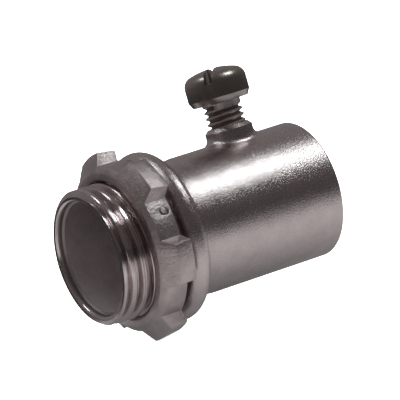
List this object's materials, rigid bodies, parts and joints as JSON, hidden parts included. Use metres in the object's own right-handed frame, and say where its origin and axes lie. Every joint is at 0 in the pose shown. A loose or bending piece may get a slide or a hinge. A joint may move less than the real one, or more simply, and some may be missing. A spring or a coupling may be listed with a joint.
{
  "type": "conduit set screw connector",
  "caption": "Steel connector for thin-wall conduit: threaded nipple with locknut, rolled shoulder and a plain socket with a set screw.",
  "frame": {"origin": "on the body's axis, in the plane of the shoulder face that bears on a box wall", "axes": "+X along the axis from the threaded nipple to the conduit socket, +Z along the set screw towards its head"},
  "size_m": [0.0387, 0.029, 0.0361],
  "materials": {
    "body_steel": "zinc plated, bright, slightly warm grey",
    "locknut_steel": "zinc plated over sheared and stamped faces",
    "screw_steel": "darker zinc plating on a headed and thread-rolled screw"
  },
  "bodies": {
    "connector": {"connector_body": "body_steel"},
    "nut": {"locknut": "locknut_steel"},
    "screw": {"set_screw": "screw_steel"}
  },
  "joints": [
    {"name": "locknut_travel", "type": "slide", "parent": "connector", "child": "nut", "axis": [1, 0, 0], "range_m": [-0.0062, 0.0004]},
    {"name": "set_screw_travel", "type": "slide", "parent": "connector", "child": "screw", "axis": [0, 0, 1], "range_m": [-0.0036, 0.0023]}
  ]
}
